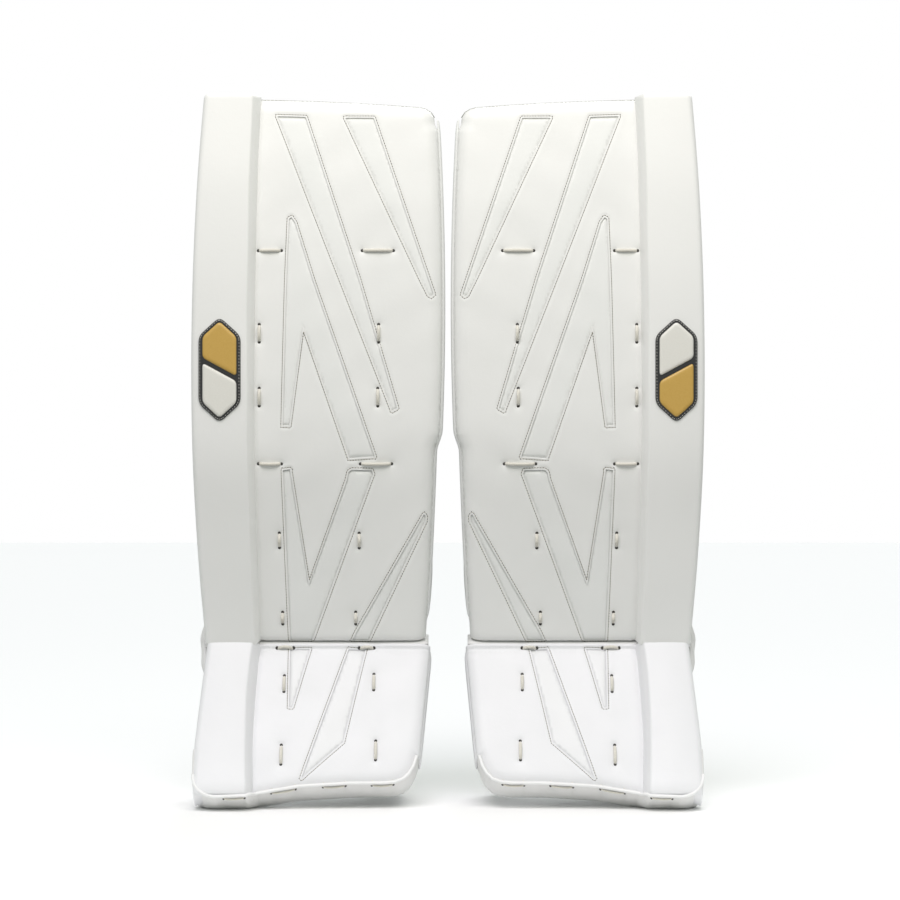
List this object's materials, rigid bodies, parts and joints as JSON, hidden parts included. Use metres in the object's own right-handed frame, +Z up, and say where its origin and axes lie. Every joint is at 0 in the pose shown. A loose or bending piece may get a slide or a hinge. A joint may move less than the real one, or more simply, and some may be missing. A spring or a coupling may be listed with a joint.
{
  "type": "goalie leg pads",
  "caption": "Pair of ice hockey goalie leg pads: curved foam boards in white leather with a proud outer roll, boot breaks, blocks, hinged wings and straps.",
  "frame": {"origin": "on the floor, midway between the two pads and in the middle of their depth", "axes": "+Z up, -Y forwards from the wearer's shins, +X towards the wearer's left"},
  "size_m": [0.5608, 0.2654, 0.78],
  "materials": {
    "white_leather": "satin",
    "inlay_leather": "satin",
    "back_leather": "satin",
    "flap_leather": "satin",
    "wing_leather": "satin",
    "foam": "matte",
    "stiff_board": "satin",
    "lining": "matte",
    "slick_edge": "smooth",
    "loop_tape": "matte",
    "webbing": "matte",
    "lace_cord": "matte",
    "toe_rubber": "satin",
    "piping": "satin",
    "badge_base": "gloss",
    "badge_field": "gloss"
  },
  "bodies": {
    "right_shin": {"right_shin_core": "foam", "right_stiffener": "stiff_board", "right_face_skin": "white_leather", "right_back_skin": "back_leather", "right_roll_foam": "foam", "right_roll_cover": "white_leather", "right_face_panels": "inlay_leather", "right_badge_plate": "badge_base", "right_badge_fields": "badge_field", "right_face_laces": "lace_cord", "right_knee_block": "white_leather", "right_knee_cradle": "lining", "right_calf_block": "white_leather", "right_shin_pad": "lining", "right_sliding_edge": "slick_edge", "right_loop_tapes": "loop_tape"},
    "right_boot": {"right_boot_core": "foam", "right_boot_skin": "white_leather", "right_boot_roll": "white_leather", "right_toe_band": "toe_rubber", "right_toe_piping": "piping", "right_boot_laces": "lace_cord", "right_boot_panels": "inlay_leather", "right_boot_flaps": "flap_leather", "right_toe_bridge": "webbing"},
    "right_calf_wing": {"right_calf_wing": "wing_leather"},
    "right_calf_strap": {"right_calf_strap": "webbing"},
    "right_knee_wing": {"right_knee_wing": "wing_leather"},
    "right_knee_strap": {"right_knee_strap": "webbing"},
    "right_boot_strap": {"right_boot_strap": "webbing"},
    "left_shin": {"left_shin_core": "foam", "left_stiffener": "stiff_board", "left_face_skin": "white_leather", "left_back_skin": "back_leather", "left_roll_foam": "foam", "left_roll_cover": "white_leather", "left_face_panels": "inlay_leather", "left_badge_plate": "badge_base", "left_badge_fields": "badge_field", "left_face_laces": "lace_cord", "left_knee_block": "white_leather", "left_knee_cradle": "lining", "left_calf_block": "white_leather", "left_shin_pad": "lining", "left_sliding_edge": "slick_edge", "left_loop_tapes": "loop_tape"},
    "left_boot": {"left_boot_core": "foam", "left_boot_skin": "white_leather", "left_boot_roll": "white_leather", "left_toe_band": "toe_rubber", "left_toe_piping": "piping", "left_boot_laces": "lace_cord", "left_boot_panels": "inlay_leather", "left_boot_flaps": "flap_leather", "left_toe_bridge": "webbing"},
    "left_calf_wing": {"left_calf_wing": "wing_leather"},
    "left_calf_strap": {"left_calf_strap": "webbing"},
    "left_knee_wing": {"left_knee_wing": "wing_leather"},
    "left_knee_strap": {"left_knee_strap": "webbing"},
    "left_boot_strap": {"left_boot_strap": "webbing"}
  },
  "joints": [
    {"name": "right_boot_flex", "type": "hinge", "parent": "right_shin", "child": "right_boot", "pos_m": [-0.15, -0.02159, 0.175], "axis": [1, 0, 0], "range_deg": [-6, 14], "stiffness_Nm_per_rad": 40},
    {"name": "right_calf_wing_open", "type": "hinge", "parent": "right_shin", "child": "right_calf_wing", "pos_m": [-0.269, -0.00494, 0.30006], "axis": [0, -0.1898, 0.9818], "range_deg": [0, 90], "stiffness_Nm_per_rad": 0.6},
    {"name": "right_calf_strap_open", "type": "hinge", "parent": "right_calf_wing", "child": "right_calf_strap", "pos_m": [-0.18, 0.11553, 0.32335], "axis": [0, -0.1898, 0.9818], "range_deg": [0, 120]},
    {"name": "right_knee_wing_open", "type": "hinge", "parent": "right_shin", "child": "right_knee_wing", "pos_m": [-0.269, -0.02668, 0.53099], "axis": [0, 0.0158, 0.9999], "range_deg": [0, 90], "stiffness_Nm_per_rad": 0.6},
    {"name": "right_knee_strap_open", "type": "hinge", "parent": "right_knee_wing", "child": "right_knee_strap", "pos_m": [-0.192, 0.08001, 0.52931], "axis": [0, 0.0158, 0.9999], "range_deg": [0, 120]},
    {"name": "right_boot_strap_open", "type": "hinge", "parent": "right_boot", "child": "right_boot_strap", "pos_m": [-0.192, 0.055, 0.084], "axis": [0, 0, 1], "range_deg": [0, 120]},
    {"name": "left_boot_flex", "type": "hinge", "parent": "left_shin", "child": "left_boot", "pos_m": [0.15, -0.02159, 0.175], "axis": [1, 0, 0], "range_deg": [-6, 14], "stiffness_Nm_per_rad": 40},
    {"name": "left_calf_wing_open", "type": "hinge", "parent": "left_shin", "child": "left_calf_wing", "pos_m": [0.269, -0.00494, 0.30006], "axis": [0, 0.1898, -0.9818], "range_deg": [0, 90], "stiffness_Nm_per_rad": 0.6},
    {"name": "left_calf_strap_open", "type": "hinge", "parent": "left_calf_wing", "child": "left_calf_strap", "pos_m": [0.18, 0.11553, 0.32335], "axis": [0, 0.1898, -0.9818], "range_deg": [0, 120]},
    {"name": "left_knee_wing_open", "type": "hinge", "parent": "left_shin", "child": "left_knee_wing", "pos_m": [0.269, -0.02668, 0.53099], "axis": [0, -0.0158, -0.9999], "range_deg": [0, 90], "stiffness_Nm_per_rad": 0.6},
    {"name": "left_knee_strap_open", "type": "hinge", "parent": "left_knee_wing", "child": "left_knee_strap", "pos_m": [0.192, 0.08001, 0.52931], "axis": [0, -0.0158, -0.9999], "range_deg": [0, 120]},
    {"name": "left_boot_strap_open", "type": "hinge", "parent": "left_boot", "child": "left_boot_strap", "pos_m": [0.192, 0.055, 0.084], "axis": [0, 0, -1], "range_deg": [0, 120]},
    {"name": "left_pad_apart", "type": "slide", "parent": "right_shin", "child": "left_shin", "axis": [1, 0, 0], "range_m": [0, 0.25]}
  ]
}
